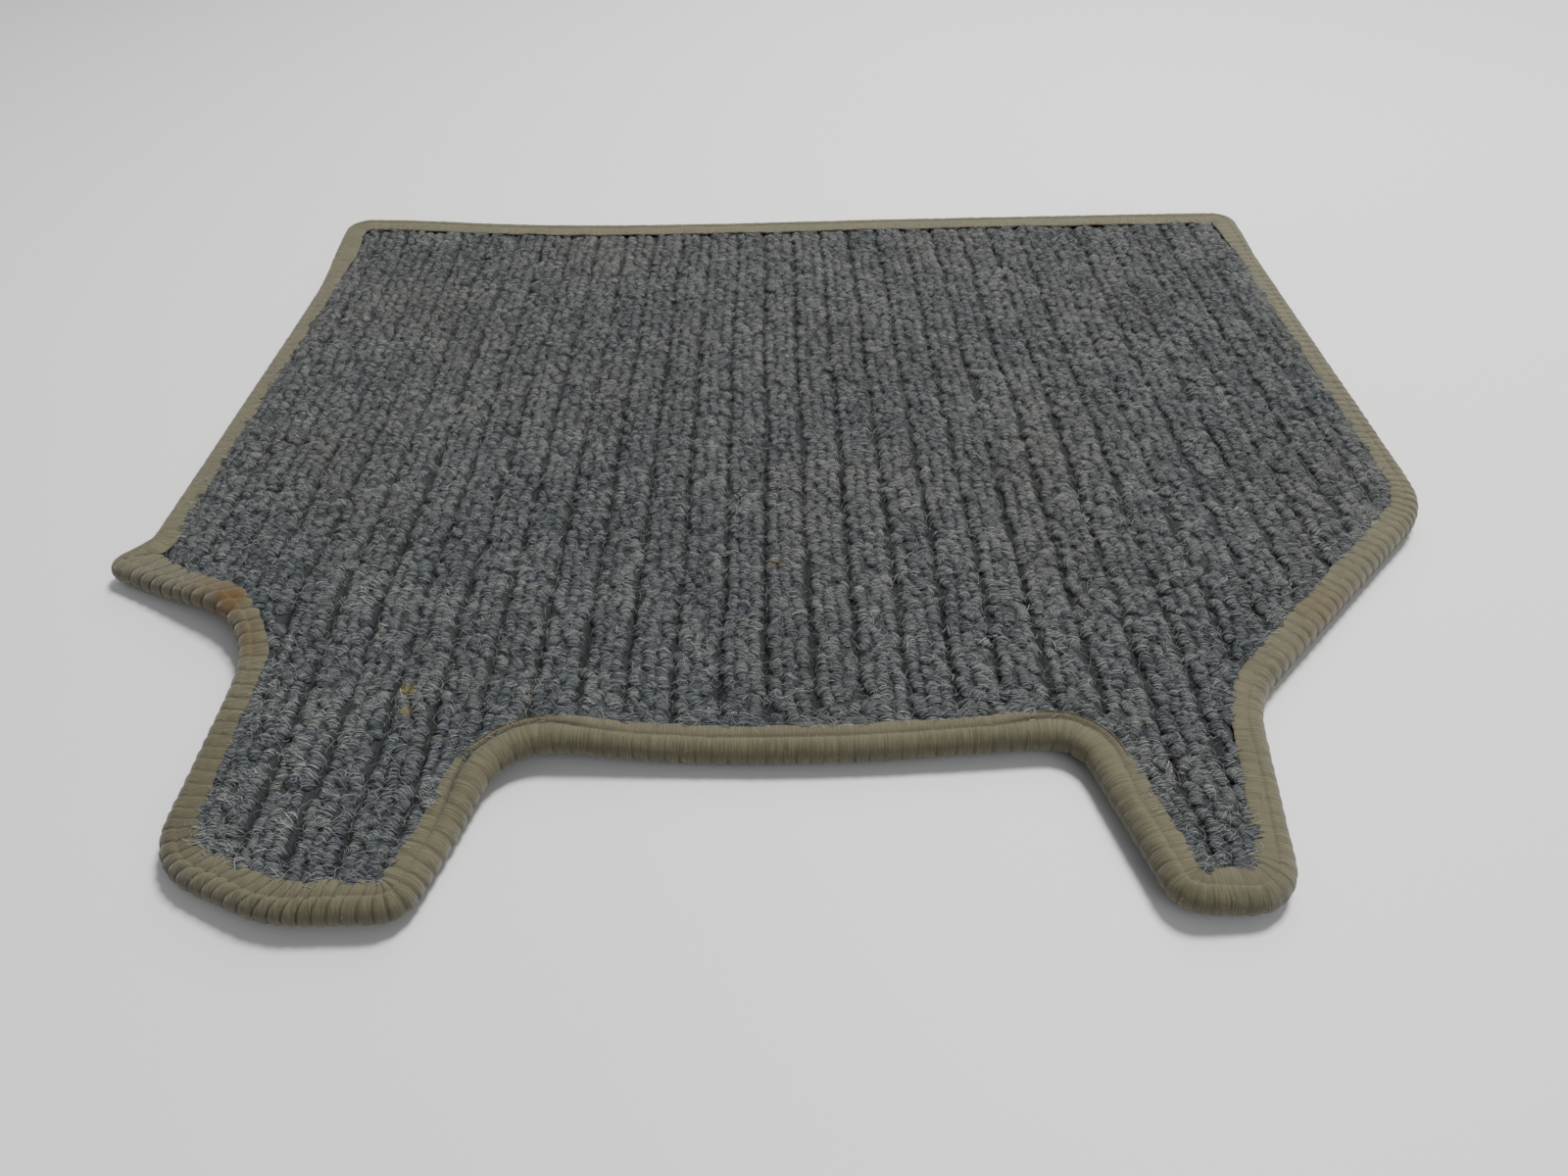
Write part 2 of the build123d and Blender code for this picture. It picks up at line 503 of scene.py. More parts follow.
def tuft_places():
    """Middles of the tufts, and how far each is from the crest of its rib."""
    ribs = np.arange(math.floor(rim[:, 0].min() / RIB_PITCH) - 1, rim[:, 0].max() / RIB_PITCH + 1)
    rows = np.arange(rim[:, 1].min(), rim[:, 1].max(), TUFT_PITCH)
    rib, lane, row = np.meshgrid(ribs, LANES, rows, indexing="ij")
    lane_shift = rng.uniform(0.0, TUFT_PITCH, rib.shape[:2])[..., None]
    y = (row + lane_shift + rng.normal(0.0, 0.9, row.shape)).ravel()
    middle = GROOVE_AT + (rib + 0.5) * RIB_PITCH
    lane = lane * (1.0 + 0.05 * trodden(middle, row))
    side = (lane + rng.normal(0.0, 0.7, lane.shape)).ravel()
    x = middle.ravel() + side
    x = x - rib_wander(x, y)

    edge = rng.permutation(len(rim))[: int(rim_length / EDGE_TUFT_PITCH)]
    edge_in = FLANGE_INSET + rng.uniform(0.1, 1.7, len(edge))
    edge_x = rim[edge, 0] + inward[edge, 0] * edge_in
    edge_y = rim[edge, 1] + inward[edge, 1] * edge_in
    place = (edge_x + rib_wander(edge_x, edge_y) - GROOVE_AT) / RIB_PITCH
    edge_side = (np.mod(place, 1.0) - 0.5) * RIB_PITCH

    kept = []
    for places, gap, back_gap in (
        (np.stack([x, y, side]), 0.3, 0.3),
        (np.stack([edge_x, edge_y, edge_side]), 0.0, 0.35),
    ):
        x, y, _ = places
        limit = FLANGE_INSET + gap + wider_flange(x, y) + back_gap * back_edge(x, y)
        kept.append(places[:, inset_at(x, y) > limit])
    return np.concatenate(kept, axis=1)


# Each tuft's place, size, height for its size, turn and lean, and how dark its yarn is
tuft_x, tuft_y, tuft_side = tuft_places()
tufts = len(tuft_x)
tuft_size = rng.uniform(0.8, 1.15, tufts)
tuft_squat = rng.uniform(*YARN_SQUAT, tufts) * (1.0 - 0.25 * back_edge(tuft_x, tuft_y))
tuft_yaw = rng.normal(0.0, 0.3, tufts)
tuft_lean = rng.normal(0.05, 0.18, tufts)
tuft_tone = noise(tuft_x, tuft_y, 10.0, 9) + 0.7 * noise(tuft_x, tuft_y, 28.0, 10)
tuft_tone = ranked(tuft_tone + rng.normal(0.0, 0.12, tufts))


def fullness(at):
    """How full a tuft is at a slice between its front, -1, and its back, 1."""
    return np.sqrt(1.0 - np.abs(0.88 * np.clip(at, -1.0, 1.0)) ** 2.2)


def stand_up(middle_x, middle_y, along, rise, yaw, lean, splay):
    """Yarn paths whose arches are along wide and rise tall, standing on the ribs."""
    back = rise * np.sin(lean)[:, None]
    tall = rise * np.cos(lean)[:, None]
    turn_x, turn_y = np.cos(yaw)[:, None], np.sin(yaw)[:, None]
    x = middle_x[:, None] + along * turn_x - back * turn_y + tall * splay[:, None]
    y = middle_y[:, None] + along * turn_y + back * turn_x
    paths = raised(np.stack([x, y, pile_floor(x, y) + tall - 0.1], -1))
    sideways = np.column_stack([-np.sin(yaw), np.cos(yaw), -np.sin(lean)])
    return paths, np.repeat(sideways[:, None], paths.shape[1], axis=1)


def tuft_bodies(name, first, last):
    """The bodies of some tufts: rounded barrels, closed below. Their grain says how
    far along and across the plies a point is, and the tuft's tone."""
    slices = np.linspace(-1.0, 1.0, 6)
    angle = np.linspace(-0.3, math.pi + 0.3, 7)
    count = last - first
    tuft = np.repeat(np.arange(first, last), len(slices))
    at = np.tile(slices, count)
    radius = BODY_FILL * YARN_ARCH * tuft_size[tuft] * fullness(at)
    radius = (radius * rng.uniform(0.93, 1.04, len(radius)))[:, None]
    depth = 0.5 * TUFT_LENGTH * at
    middle_x = tuft_x[tuft] - depth * np.sin(tuft_yaw[tuft])
    middle_y = tuft_y[tuft] + depth * np.cos(tuft_yaw[tuft])
    points, _ = stand_up(
        middle_x,
        middle_y,
        radius * np.cos(angle),
        radius * tuft_squat[tuft][:, None] * np.sin(angle),
        tuft_yaw[tuft],
        tuft_lean[tuft],
        SPLAY * tuft_side[tuft],
    )
    wide = len(angle)
    start = np.arange(count) * len(slices) * wide
    walls = grid_walls(start, len(slices), wide, closed=False)[..., [0, 3, 2, 1]]
    row = start[:, None] + np.arange(len(slices) - 1) * wide
    base = np.stack([row, row + wide - 1, row + 2 * wide - 1, row + wide], -1)
    front = start[:, None] + np.arange(wide)
    back = start[:, None] + (len(slices) - 1) * wide + np.arange(wide)[::-1]
    quads = np.concatenate([walls.reshape(-1, 4), base.reshape(-1, 4)])
    piece = build_mesh(name, points.reshape(-1, 3), quads, np.concatenate([front, back]))
    across = np.broadcast_to(depth[:, None], radius.shape) + 0 * angle
    grain = np.stack(np.broadcast_arrays(radius * angle, across, tuft_tone[tuft][:, None]), -1)
    add_attribute(piece, "grain", "FLOAT_VECTOR", grain)
    return piece


def yarn_arches():
    """The yarns wrapped over the tufts, in slices from front to back. Gives the paths, the
    sideways vectors, and the lock and tuft of each yarn."""
    locks = tufts * LOCKS_PER_TUFT
    tuft = np.repeat(np.arange(tufts), LOCKS_PER_TUFT)
    at = np.tile(np.linspace(-0.97, 0.97, LOCKS_PER_TUFT), tufts)
    at = at + rng.normal(0.0, 0.06, locks)
    lock_size = rng.uniform(0.9, 1.1, locks)
    lock_yaw = tuft_yaw[tuft] + rng.normal(0.0, 0.1, locks)
    lock_lean = tuft_lean[tuft] + rng.normal(0.0, 0.12, locks)
    lock_shift = rng.normal(0.0, 0.16, locks)

    lock = np.repeat(np.arange(locks), YARNS_PER_LOCK)
    tuft = tuft[lock]
    count = len(lock)
    at = at[lock] + rng.normal(0.0, 0.06, count)
    radius = YARN_ARCH * tuft_size[tuft] * lock_size[lock] * fullness(at)
    loose = rng.random(count) < 0.3
    radius = radius * rng.uniform(0.92, 1.08, count) * np.where(loose, 1.12, 1.0)
    yaw = lock_yaw[lock] + rng.normal(0.0, 0.08, count) * np.where(loose, 6.0, 1.0)
    lean = lock_lean[lock] + rng.normal(0.0, 0.1, count) * np.where(loose, 4.0, 1.0)
    depth = 0.5 * TUFT_LENGTH * at
    shift = lock_shift[lock] + rng.normal(0.0, 0.1, count)
    middle_x = tuft_x[tuft] - depth * np.sin(yaw) + shift
    middle_y = tuft_y[tuft] + depth * np.cos(yaw)
    start = rng.uniform(-0.4, 0.3, count)
    end = math.pi + rng.uniform(-0.3, 0.4, count)
    angle = start[:, None] + (end - start)[:, None] * np.linspace(0, 1, YARN_RINGS)
    skew = rng.normal(0.0, 0.1, count)[:, None]
    along = radius[:, None] * (np.cos(angle) + skew * np.sin(angle))
    rise = (radius * tuft_squat[tuft])[:, None] * np.sin(angle)
    splay = SPLAY * tuft_side[tuft]
    paths, sideways = stand_up(middle_x, middle_y, along, rise, yaw, lean, splay)
    return paths, sideways, lock, tuft


def ringlet_paths():
    """Small tight curls that stand out of the tufts."""
    pick = rng.integers(0, tufts, RINGLETS)
    radius = rng.uniform(*RINGLET_SIZE, RINGLETS)
    start = rng.uniform(-1.2, 0.0, RINGLETS)
    sweep = rng.uniform(3.6, 5.6, RINGLETS)
    angle = start[:, None] + sweep[:, None] * np.linspace(0, 1, RINGLET_RINGS)
    wind = radius[:, None] * np.linspace(1.1, 0.75, RINGLET_RINGS)
    yaw, lean = rng.normal(0.0, 0.6, RINGLETS), rng.normal(0.2, 0.5, RINGLETS)
    middle_x = tuft_x[pick] + rng.normal(0.0, 1.2, RINGLETS)
    middle_y = tuft_y[pick] + rng.normal(0.0, 1.2, RINGLETS)
    rise = wind * np.sin(angle) + 1.2
    splay = SPLAY * tuft_side[pick]
    return stand_up(middle_x, middle_y, wind * np.cos(angle), rise, yaw, lean, splay)


def stray_paths():
    """Long loose hairs that wander over the pile."""
    xs = rng.uniform(rim[:, 0].min(), rim[:, 0].max(), STRAY_HAIRS * 2)
    ys = rng.uniform(rim[:, 1].min(), rim[:, 1].max(), STRAY_HAIRS * 2)
    keep = inset_at(xs, ys) > FLANGE_INSET + 1.0
    xs, ys = xs[keep][:STRAY_HAIRS], ys[keep][:STRAY_HAIRS]
    count = len(xs)
    heading = rng.uniform(0, 2 * math.pi, count)
    bend = rng.normal(0.0, 0.35, count)
    length = rng.uniform(*HAIR_LENGTH, count)
    turn_by = heading[:, None] + bend[:, None] * np.arange(HAIR_RINGS)
    pace = (length / HAIR_RINGS)[:, None]
    x = xs[:, None] + np.cumsum(pace * np.cos(turn_by), axis=1)
    y = ys[:, None] + np.cumsum(pace * np.sin(turn_by), axis=1)
    arch = np.sin(np.linspace(0.05, 0.95, HAIR_RINGS) * math.pi)
    rise = rng.uniform(*HAIR_RISE, count)[:, None] * arch
    paths = raised(np.stack([x, y, pile_floor(x, y) + 1.3 + rise], -1))
    sideways = np.zeros_like(paths)
    sideways[..., 2] = 1.0
    return paths, sideways


# ---- tape
def arc(radius, angles):
    """Points of the rolled rim, as inset and height."""
    middle = ROLL_RADIUS
    return [(middle + radius * math.cos(a), middle + radius * math.sin(a)) for a in angles]


def tape_section():
    """The tape's section once round, as inset and height, outside first, and how much of
    each point belongs to the outside."""
    outside = [(9.95, 0.35), (9.4, 0.05), (7.6, 0.0), (6.1, 0.12), (SEAM_INSET, 0.45)]
    outside += arc(ROLL_RADIUS, np.linspace(-0.5, -1.5, ROLL_POINTS) * math.pi)
    outside += [
        (SEAM_INSET - 0.3, TAPE_TOP - 0.16),
        (SEAM_INSET, TAPE_TOP - 0.3),
        (SEAM_INSET + 0.4, TAPE_TOP - 0.26),
        (6.6, TAPE_TOP - 0.14),
        (8.0, TAPE_TOP - 0.12),
        (9.4, TAPE_TOP - 0.3),
        (9.95, TAPE_TOP - 0.6),
    ]
    inside = [(9.85, TAPE_TOP - 1.1), (7.6, TAPE_TOP - 1.15), (SEAM_INSET, TAPE_TOP - 1.75)]
    inside += arc(ROLL_RADIUS - TAPE_THICK, np.linspace(0.5, 1.5, 5) * math.pi)
    inside += [(SEAM_INSET, 1.3), (7.6, 0.95), (9.85, 0.9)]
    weight = np.concatenate([np.ones(len(outside)), np.zeros(len(inside))])
    return np.array(outside + inside), weight


def rim_noise(size, layer):
    """Noise at each rim point, with lumps about size long."""
    return noise(rim_place, 0 * rim_place, size, layer)


def rim_near(x, y, reach_x, reach_y):
    """1 at rim points near a place, falling off smoothly at its reach."""
    return np.exp(-(((rim[:, 0] - x) / reach_x) ** 4) - ((rim[:, 1] - y) / reach_y) ** 4)


# How each rim point stands: on a leg, round the outside of a corner, and so on
on_leg = smoothstep(-150.0, -195.0, rim[:, 1])
convex = np.clip(curvature * 22.0, 0.0, 1.0)
hollow = smooth_loop(smoothstep(0.012, 0.05, -curvature), 11.0 / PATH_STEP)
hollow = np.clip(1.6 * hollow, 0.0, 1.0) * smoothstep(130.0, 110.0, np.abs(rim[:, 0]))
bay = smoothstep(-150.0, -156.0, rim[:, 1]) * smoothstep(95.0, 80.0, np.abs(rim[:, 0]))
ear_front = rim_near(-203.0, -86.0, 30.0, 20.0)
leg_front = rim_near(-146.0, -212.0, 34.0, 22.0)
neck = rim_near(-171.0, -145.0, 12.0, 52.0)
right_leg = rim_near(116.0, -196.0, 34.0, 40.0)
right_side = rim_near(222.0, 40.0, 80.0, 190.0)
on_back = smoothstep(cad_high.y / MM - 45.0, cad_high.y / MM - 20.0, rim[:, 1])
plain = np.maximum(0.7 * on_back, rim_near(-236.0, -58.0, 9.0, 14.0))
creased = np.clip(0.08 + 0.45 * bay + 0.9 * hollow + 0.35 * on_leg, 0.0, 1.0)
creased = creased * (1.0 - ear_front) * (1.0 - plain) * (1.0 - 0.6 * right_leg)
seam_shift = 3.0 * hollow + 0.9 * (rim_noise(13.0, 14) - 0.5)
crease_depth = 0.05 + 0.75 * creased


def pleat_phase():
    """Counts the tape's pleats along the rim. They are wider on the legs and the ear."""
    pitch = PLEAT_PITCH + (LEG_PLEAT_PITCH - PLEAT_PITCH) * on_leg
    pitch = pitch + (EAR_PLEAT_PITCH - pitch) * rim_near(-195.0, -90.0, 42.0, 36.0)
    pace = 1.0 / pitch
    turn_at = 2 * math.pi * rim_place / rim_length
    uneven = noise(60 * np.cos(turn_at), 60 * np.sin(turn_at), 1.3, 6)
    phase = np.cumsum(pace * (0.75 + 0.5 * uneven))
    return np.concatenate([[0.0], phase[:-1]]) * round(phase[-1] * PATH_STEP) / phase[-1]


def pleats(across, tall, travel, weight):
    """How far the tape's pleats push each point outward, and how much painted shade each point
    gets in the valley between two pleats."""
    beyond = smoothstep(SEAM_INSET - 0.2, SEAM_INSET + 0.5, across) * smoothstep(5.0, 7.0, tall)
    rim_side = smoothstep(SEAM_INSET + 0.3, SEAM_INSET - 2.6, across)
    under = smoothstep(ROLL_RADIUS * 1.5, ROLL_RADIUS * 0.2, tall)

    # How deep the pleats are along the rim, and how much of the section they take up
    depth = 0.52 + 0.18 * convex + 0.15 * leg_front + 0.4 * ear_front + 0.12 * neck
    depth = (depth + 0.16 * right_side) * (1.0 - 0.9 * plain) * (1.0 - 0.45 * right_leg)
    depth = depth * (0.8 + 0.4 * rim_noise(12.0, 11))
    full = 0.5 + 0.25 * on_leg + 0.25 * leg_front + 0.5 * ear_front + 0.4 * neck - 0.2 * bay
    full = np.clip(full + 0.35 * right_side, 0.0, 1.0)
    share = full[:, None] * (0.75 + 0.25 * rim_side) + (1.0 - full)[:, None] * rim_side * under
    share = weight * (share + (0.35 + 0.9 * bay[:, None]) * rim_side * under)

    # Where each point is within its pleat, as the pleats bow back over the flange
    lean_back = 0.15 + 1.1 * np.maximum(ear_front, leg_front) * (1.0 - hollow)
    flange = smoothstep(travel[BOW_FROM], travel[LAST_OUTSIDE], travel)
    bow = -lean_back[:, None] * flange**2
    ruck = 0.9 * creased * (rim_noise(7.0, 12) - 0.5)
    through = np.mod(pleat_phase()[:, None] + bow + ruck[:, None] * beyond, 1.0)

    # A lapped pleat is steep on one side. In the bay the pleats are even scallops.
    swell = np.minimum(through / 0.3, 1.0) ** 0.7 * (1.0 - 0.55 * through**3)
    scallop = (1.0 - np.abs(2.0 * through - 1.0) ** 4) ** 0.6
    swell = swell + (scallop - swell) * bay[:, None]
    push = depth[:, None] * share * (swell - 0.75)
    push += 0.25 * weight * (noise(rim_place[:, None], travel[None] * 2.0, 3.0, 7) - 0.5)
    shown = np.clip(depth / 0.7, 0.0, 1.0)[:, None] * np.minimum(share, 1.0)
    # Painted shade: darkest down in the valley between two pleats, more where the pleats show
    # more.
    from_valley = np.where(through < 0.5, through / 0.13, (1.0 - through) / 0.07)
    return push, np.exp(-(from_valley**2)) * shown


def tape_points():
    """Points of the tape, (rim points, section points, 3), how much painted shade each gets
    in a valley or a crease, and its UVs."""
    section, weight = tape_section()
    across, tall = section.T
    step = np.roll(section, -1, 0) - np.roll(section, 1, 0)
    normal = unit(np.column_stack([-step[:, 1], step[:, 0]]))
    travel = lengths_along(section)
    push, valley_shade = pleats(across, tall, travel, weight)
    inset = across + push * normal[:, 0]
    height = tall + push * normal[:, 1]

    # The upper flange: a ragged free edge, wider in places, and creased along the seam
    upper = smoothstep(5.0, 7.0, tall)
    edge = smoothstep(7.5, 9.9, across)
    ragged = 1.2 * (rim_noise(9.0, 8) - 0.5)
    ragged = ragged + 0.5 * (rim_noise(2.2, 13) - 0.5)
    flange_end = rim + inward * FLANGE_INSET
    wide = 1.3 * smoothstep(0.02, 0.06, curvature) * (1.0 - plain) + 0.8 * on_leg
    wide = wide + wider_flange(*flange_end.T)
    inset += (ragged + wide)[:, None] * edge * upper
    height += (0.5 * hollow + 0.4 * near_back(rim[:, 1]))[:, None] * edge * upper
    crease = np.exp(-(((across - SEAM_INSET) / NARROW_CREASE) ** 2)) * upper
    height -= crease_depth[:, None] * crease
    near_seam = smoothstep(2.5, SEAM_INSET, across) * smoothstep(12.0, 7.0, across)
    near_seam = near_seam * (1.0 - 0.9 * edge)
    inset += seam_shift[:, None] * near_seam * upper

    # In a tight corner the tape stops short of the middle of the turn
    limit = np.maximum(room, LEAST_ROOM)[:, None]
    held = inset * limit / (np.abs(inset) ** 14 + limit**14) ** (1 / 14)
    plan = rim[:, None] + inward[:, None] * held[..., None]
    points = raised(np.concatenate([plan, height[..., None]], axis=2))
    # Painted shade along the seam's crease, stronger where the tape is creased, and a broad band
    # of it beside the seam in the bay.
    broad_crease_shade = np.exp(-(((across - SEAM_INSET) / BROAD_CREASE_SHADE) ** 2)) * upper
    valley_shade = np.maximum(valley_shade, (0.9 * creased**2)[:, None] * crease)
    valley_shade = np.maximum(valley_shade, (0.3 * bay)[:, None] * broad_crease_shade)
    uv = np.stack(np.broadcast_arrays(rim_place[:, None], travel[None]), -1) * MM
    return points, valley_shade, uv


def tape_piece(name, first, last, points, valley_shade, uv):
    """A stretch of the tape between two rim points, closed at both ends."""
    span = np.arange(first, last + 1)
    at = span % len(rim)
    rows, columns = len(span), points.shape[1]
    span_uv = uv[at]
    span_uv[span >= len(rim), :, 0] += rim_length * MM
    walls = grid_walls([0], rows, columns)[..., [0, 3, 2, 1]]
    ring = np.arange(columns)
    ends = np.stack([ring, (rows - 1) * columns + ring[::-1]])
    piece = build_mesh(name, points[at].reshape(-1, 3), walls.reshape(-1, 4), ends)
    # Stores the painted shade of the valleys and the crease, for the tape's material to read.
    add_attribute(piece, "valley_shade", "FLOAT", valley_shade[at])
    mesh = piece.data
    loops = np.empty(len(mesh.loops), np.int32)
    mesh.loops.foreach_get("vertex_index", loops)
    layer_uv = mesh.uv_layers.new(name="tape")
    layer_uv.data.foreach_set("uv", span_uv.reshape(-1, 2)[loops].astype(np.float32).ravel())
    return piece


def along_rim(values, spot):
    """Values of the rim points, read at places between them."""
    low = np.floor(spot).astype(int) % len(rim)
    part = spot - np.floor(spot)
    part = part.reshape(part.shape + (1,) * (values.ndim - 1))
    return values[low] * (1 - part) + values[(low + 1) % len(rim)] * part


def stitches(name, height, sag, shift, dip):
    """The visible part of each lockstitch: a short dark bar lying in the tape's crease."""
    count = round(rim_length / STITCH_PITCH)
    rings = len(STITCH_TAPER)
    middle = (np.arange(count) + 0.5) * rim_length / count
    middle = middle + rng.normal(0.0, 0.12, count)
    offset = np.linspace(-0.5, 0.5, rings) * STITCH_LENGTH
    spot = (middle[:, None] + offset[None]) % rim_length / rim_length * len(rim)
    side = along_rim(inward, spot)
    skew = rng.normal(0.0, 0.12, count)[:, None] * np.linspace(-1, 1, rings)
    inset = SEAM_INSET + 0.05 + skew + along_rim(shift, spot)
    plan = along_rim(rim, spot) + side * inset[..., None]
    arch = sag * (np.cos(np.linspace(-1, 1, rings) * math.pi / 2) - 0.5)
    tall = height + arch - along_rim(dip, spot)
    paths = raised(np.concatenate([plan, tall[..., None]], axis=2))
    radii = STITCH_RADIUS * np.array(STITCH_TAPER)
    sideways = np.concatenate([side, np.zeros(side.shape[:2] + (1,))], axis=2)
    return tubes(name, paths, radii, sideways, STITCH_SIDES)


def fuzz_paths(points):
    """Fine short hairs rubbed up out of the tape."""
    row = rng.integers(0, len(rim), FUZZ_HAIRS)
    column = rng.integers(FIRST_FUZZY, LAST_OUTSIDE, FUZZ_HAIRS)
    here = points[row, column]
    ahead = points[(row + 2) % len(rim), column] - here
    beside = points[row, column + 1] - here
    out = unit(np.cross(beside, ahead))
    lie = unit(rng.normal(0.0, 1.0, (FUZZ_HAIRS, 3)))
    bend = rng.normal(0.0, 0.7, (FUZZ_HAIRS, 3))
    length = rng.uniform(*FUZZ_LENGTH, FUZZ_HAIRS)[:, None, None]
    t = np.linspace(0.0, 1.0, FUZZ_RINGS)[None, :, None]
    rise = 0.45 * np.sin(t * math.pi * 0.8)
    paths = here[:, None] + length * (out[:, None] * rise + lie[:, None] * t * 0.8)
    paths = paths + length * bend[:, None] * t**2 * 0.3
    paths[..., 2] = np.maximum(paths[..., 2], 0.1)
    sideways = np.repeat(np.cross(out, lie)[:, None] + 1e-3, FUZZ_RINGS, axis=1)
    return paths, sideways


# ---- materials
class Shader:
    """A material with one Principled shader, and short ways to add nodes to it."""

    def __init__(self, name, roughness, sheen, specular=0.3):
        self.material = bpy.data.materials.new(name)
        self.material.use_nodes = True
        self.tree = self.material.node_tree
        self.surface = self.tree.nodes["Principled BSDF"].inputs
        self.surface["Roughness"].default_value = roughness
        self.surface["Sheen Weight"].default_value = sheen
        self.surface["Sheen Roughness"].default_value = 0.5
        self.surface["Specular IOR Level"].default_value = specular
        self.place = self.add("ShaderNodeTexCoord").outputs["Object"]

    def add(self, kind, inputs=(), **settings):
        """Adds a node. inputs pairs a socket's name or number with a value or a socket."""
        node = self.tree.nodes.new(kind)
        for key, value in settings.items():
            setattr(node, key, value)
        for key, value in inputs:
            if isinstance(value, bpy.types.NodeSocket):
                self.tree.links.new(value, node.inputs[key])
            else:
                node.inputs[key].default_value = value
        return node

    def math(self, operation, a, b=0.0, clamp=False):
        pairs = [(0, a), (1, b)]
        return self.add("ShaderNodeMath", pairs, operation=operation, use_clamp=clamp).outputs[0]

    def times(self, a, b):
        return self.math("MULTIPLY", a, b)

    def noise(self, size, detail=2.0, rough=0.5, stretch=None, place=None):
        """Noise with lumps about size millimetres across, after any stretch."""
        place = place or self.place
        if stretch:
            pairs = [("Vector", place), ("Scale", stretch)]
            place = self.add("ShaderNodeMapping", pairs).outputs[0]
        pairs = [("Vector", place), ("Scale", 1.0 / (size * MM)), ("Detail", detail)]
        return self.add("ShaderNodeTexNoise", pairs + [("Roughness", rough)]).outputs["Fac"]

    def ramp(self, value, low, high):
        """0 below low and 1 above high, with a straight line between them."""
        pairs = [("Value", value), ("From Min", low), ("From Max", high)]
        return self.add("ShaderNodeMapRange", pairs, clamp=True).outputs["Result"]

    def mix(self, amount, a, b, strength=None):
        """Colour a where amount is 0 and colour b, or its strength of it, where it is 1."""
        if strength:
            amount = self.times(amount, strength)
        pairs = [("Factor", amount), (6, rgba(a)), (7, rgba(b))]
        return self.add("ShaderNodeMix", pairs, data_type="RGBA").outputs[2]

    def spot(self, x, y, radius, ragged):
        """1 inside a ragged spot on the mat, falling to 0 outside it."""
        pairs = [(0, self.place), (1, (x * MM, y * MM, 0.0))]
        away = self.add("ShaderNodeVectorMath", pairs, operation="SUBTRACT").outputs[0]
        pairs = [(0, away), (1, (1.0, 1.0, 0.0))]
        flat = self.add("ShaderNodeVectorMath", pairs, operation="MULTIPLY").outputs[0]
        length = self.add("ShaderNodeVectorMath", [(0, flat)], operation="LENGTH")
        edge = self.times(self.math("SUBTRACT", self.noise(ragged), 0.5), radius * MM)
        near = self.math("ADD", length.outputs["Value"], edge)
        return self.ramp(near, radius * MM, 0.4 * radius * MM)

    def finish(self, colour, rough=None, bump=None):
        """Links the colour, a roughness (value, least, most) and a bump (height, strength,
        distance in millimetres) to the shader, and gives the material."""
        self.tree.links.new(colour, self.surface["Base Color"])
        if rough:
            pairs = zip(("Value", "To Min", "To Max"), rough)
            result = self.add("ShaderNodeMapRange", pairs, clamp=True).outputs["Result"]
            self.tree.links.new(result, self.surface["Roughness"])
        if bump:
            height, strength, distance = bump
            pairs = [("Height", height), ("Strength", strength), ("Distance", distance * MM)]
            bumped = self.add("ShaderNodeBump", pairs).outputs[0]
            self.tree.links.new(bumped, self.surface["Normal"])
        return self.material


def rgba(colour):
    return colour if isinstance(colour, bpy.types.NodeSocket) else (*colour, 1.0)


STAIN_YELLOW = (0.22, 0.20, 0.05)
STAIN_BROWN = (0.13, 0.07, 0.025)
RUST = (0.080, 0.040, 0.003)
DARK_TAPE_TINT = (0.045, 0.035, 0.018)
DUST = (0.15, 0.14, 0.11)


def marked(shader, colour, spots, ragged):
    """Adds a list of ragged marks to a colour."""
    for x, y, radius, strength, stain in spots:
        colour = shader.mix(shader.spot(x, y, radius, ragged), colour, stain, strength)
    return colour


def stained(shader, colour):
    """Adds the dust, a paler tint towards the back, and the marks on the pile to a colour."""
    dust_and_paler_back = shader.times(shader.ramp(shader.noise(70.0, 3.0), 0.45, 0.75), 0.22)
    # Paler towards the back, in the dust colour.
    back_at = shader.add("ShaderNodeSeparateXYZ", [(0, shader.place)]).outputs[1]
    paler_back = shader.times(shader.ramp(back_at, -80.0 * MM, 180.0 * MM), 0.12)
    dust_and_paler_back = shader.math("ADD", dust_and_paler_back, paler_back)
    colour = shader.mix(dust_and_paler_back, colour, DUST)
    return marked(shader, colour, PILE_SPOTS, 4.0)


def yarn_material(name, colour, other):
    """Dyed wool-like yarn: each colour drifts a little along the pile and has fine flecks."""
    shader = Shader(name, 0.9, 0.1, 0.2)
    drift = shader.ramp(shader.noise(9.0, 3.0), 0.3, 0.7)
    base = shader.mix(drift, colour, other)
    fleck = shader.ramp(shader.noise(0.35, 2.0), 0.35, 0.75)
    darker = tuple(0.55 * c for c in colour)
    base = shader.mix(fleck, base, darker, 0.5)
    rough = (shader.noise(0.5), 0.8, 1.0)
    return shader.finish(stained(shader, base), rough, (shader.noise(0.25, 2.0), 0.5, 0.1))


def wool_material():
    """The body of a tuft: fine plies side by side over its arch, in mixed greys and blues."""
    shader = Shader("pile_wool", 0.95, 0.1, 0.1)
    grain = shader.add("ShaderNodeAttribute", attribute_name="grain").outputs["Vector"]
    plies = shader.noise(1 / MM, 2.0, 0.6, (0.2, 2.8, 90.0), grain)
    tone = shader.add("ShaderNodeSeparateXYZ", [(0, grain)]).outputs[2]
    dark = shader.mix(shader.noise(8.0, 2.0), (0.030, 0.035, 0.042), (0.041, 0.044, 0.046))
    base = shader.mix(shader.ramp(plies, 0.38, 0.50), dark, (0.078, 0.086, 0.091))
    base = shader.mix(shader.ramp(plies, 0.54, 0.64), base, (0.155, 0.159, 0.153))
    base = shader.mix(shader.ramp(tone, 0.55, 0.0), base, (0.046, 0.055, 0.068), 0.35)
    return shader.finish(stained(shader, base), (plies, 0.85, 1.0), (plies, 0.9, 0.4))


